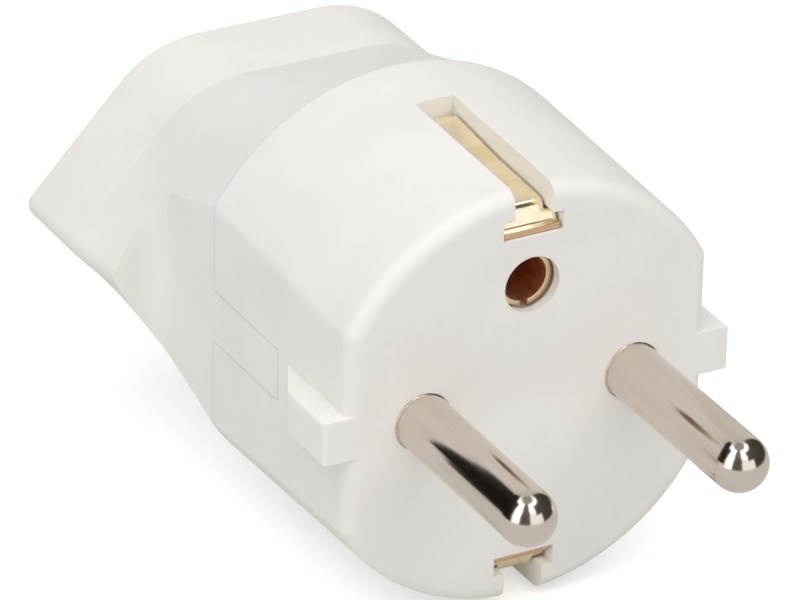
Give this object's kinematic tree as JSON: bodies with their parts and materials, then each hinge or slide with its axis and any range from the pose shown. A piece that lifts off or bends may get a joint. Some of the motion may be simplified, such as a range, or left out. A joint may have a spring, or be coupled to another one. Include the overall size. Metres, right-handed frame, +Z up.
{
  "type": "plug adapter",
  "caption": "White travel plug adapter with an earthed two-round-pin plug in front and a recessed hexagonal three-hole socket behind.",
  "frame": {"origin": "centre of the plug face, midway between the two plug pins", "axes": "+X to the right looking at the adapter from behind the pins, +Y from the plug face back to the socket, +Z up towards the earth-pin hole"},
  "size_m": [0.0428, 0.0665, 0.0382],
  "materials": {
    "white_plastic": "satin",
    "carrier_plastic": "matte",
    "nickel_plate": "satin",
    "sheet_brass": "satin"
  },
  "bodies": {
    "root": {"front_body": "white_plastic", "rear_housing": "white_plastic", "contact_carrier": "carrier_plastic", "line_pin": "nickel_plate", "neutral_pin": "nickel_plate", "line_contact": "sheet_brass", "neutral_contact": "sheet_brass", "earth_bracket": "sheet_brass", "earth_sleeve": "sheet_brass", "earth_contact": "sheet_brass", "earth_rivet": "sheet_brass"}
  },
  "joints": []
}
